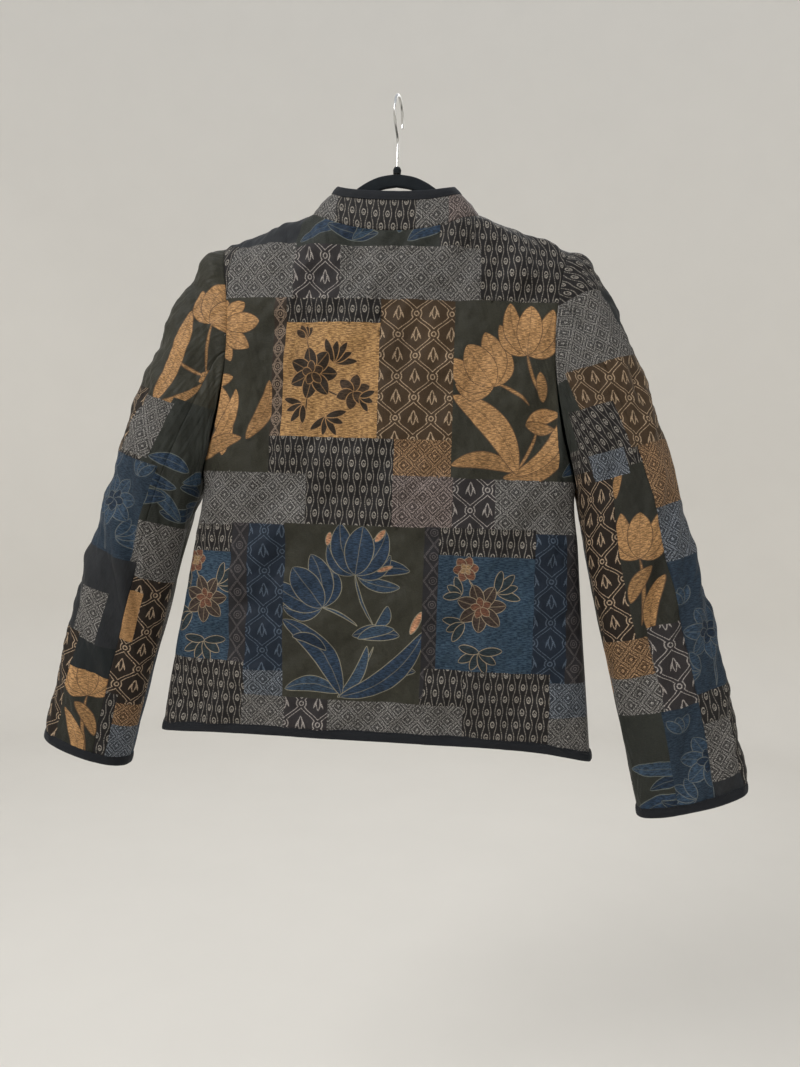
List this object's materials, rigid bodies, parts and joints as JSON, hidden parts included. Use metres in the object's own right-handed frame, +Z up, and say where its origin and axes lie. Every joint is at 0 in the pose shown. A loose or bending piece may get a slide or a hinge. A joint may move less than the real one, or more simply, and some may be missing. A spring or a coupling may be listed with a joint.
{
  "type": "patchwork jacket on a hanger",
  "caption": "Short patchwork jacket with a stand collar, long two-piece sleeves and dark bound edges, hanging empty on a slim flocked hanger with a wire hook.",
  "frame": {"origin": "inside top of the hook's bend, where it rests on a rail or an edge", "axes": "+Z up, -Y the way the back of the jacket faces, -X towards the wearer's left"},
  "size_m": [0.8062, 0.1087, 0.7806],
  "materials": {
    "patchwork_cloth": "jacquard weaves in slate, olive, blue, brown and old gold, slightly crinkled",
    "binding_cloth": "plain blue-black cotton, folded",
    "hanger_flock": "black velvet flock",
    "hook_steel": "polished wire"
  },
  "bodies": {
    "root": {"back": "patchwork_cloth", "front_left": "patchwork_cloth", "front_right": "patchwork_cloth", "collar": "patchwork_cloth", "sleeve_left_upper": "patchwork_cloth", "sleeve_left_under": "patchwork_cloth", "sleeve_right_upper": "patchwork_cloth", "sleeve_right_under": "patchwork_cloth", "hem_binding": "binding_cloth", "collar_binding": "binding_cloth", "cuff_binding_left": "binding_cloth", "cuff_binding_right": "binding_cloth", "front_edge_binding_left": "binding_cloth", "front_edge_binding_right": "binding_cloth", "hanger": "hanger_flock", "hook_socket": "hanger_flock", "hook": "hook_steel"}
  },
  "joints": []
}
